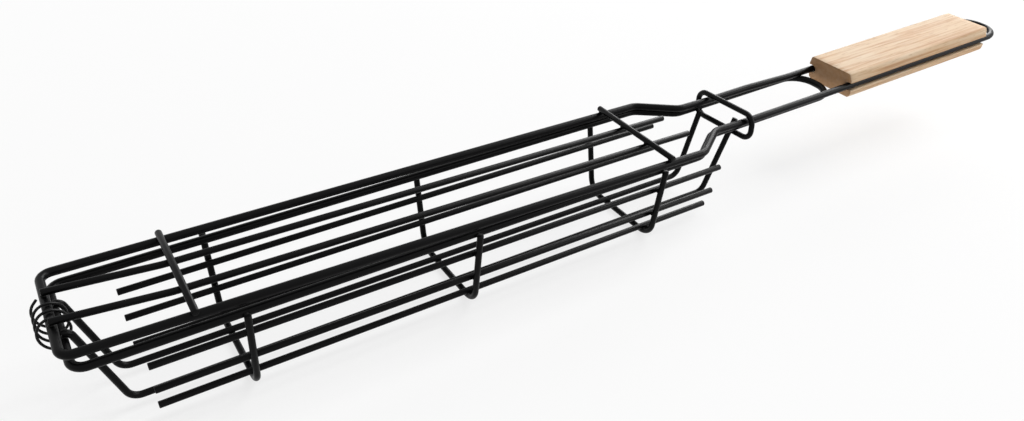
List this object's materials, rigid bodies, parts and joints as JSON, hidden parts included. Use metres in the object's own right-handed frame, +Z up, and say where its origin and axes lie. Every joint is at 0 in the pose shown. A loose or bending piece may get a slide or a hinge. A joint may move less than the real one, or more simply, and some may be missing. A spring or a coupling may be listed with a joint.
{
  "type": "grill basket",
  "caption": "Long narrow wire grill basket: deep tray, hinged flat lid with a wooden handle, and a sliding wire ring that locks the necks.",
  "frame": {"origin": "middle of the bounding box, on the ground under the cross wires", "axes": "+X along the length from the hinge to the handle, +Z up, +Y to the side away from the camera"},
  "size_m": [0.567, 0.0664, 0.0588],
  "materials": {
    "coated_wire": "black satin coating over steel wire",
    "coil_wire": "black thin steel wire",
    "wood": "pale plain wood, unvarnished"
  },
  "bodies": {
    "tray": {"tray_frame": "coated_wire", "corner_wire_far": "coated_wire", "corner_wire_near": "coated_wire", "cross_wire_front": "coated_wire", "cross_wire_middle": "coated_wire", "cross_wire_rear": "coated_wire", "floor_wire_far": "coated_wire", "floor_wire_near": "coated_wire", "wall_wire_lower_far": "coated_wire", "wall_wire_lower_near": "coated_wire", "wall_wire_upper_far": "coated_wire", "wall_wire_upper_near": "coated_wire", "hinge_coil": "coil_wire"},
    "lid": {"lid_frame": "coated_wire", "lid_wire_far": "coated_wire", "lid_wire_near": "coated_wire", "lid_cross_bar_front": "coated_wire", "lid_cross_bar_rear": "coated_wire", "wood_handle": "wood"},
    "lock_ring": {"lock_ring": "coated_wire"}
  },
  "joints": [
    {"name": "lid_hinge", "type": "hinge", "parent": "tray", "child": "lid", "pos_m": [-0.27719, 0, 0.04956], "axis": [-0.008, -1, 0], "range_deg": [0, 135]},
    {"name": "ring_slide", "type": "slide", "parent": "lid", "child": "lock_ring", "axis": [0.9997, -0.008, 0.0225], "range_m": [0, 0.0761]}
  ]
}
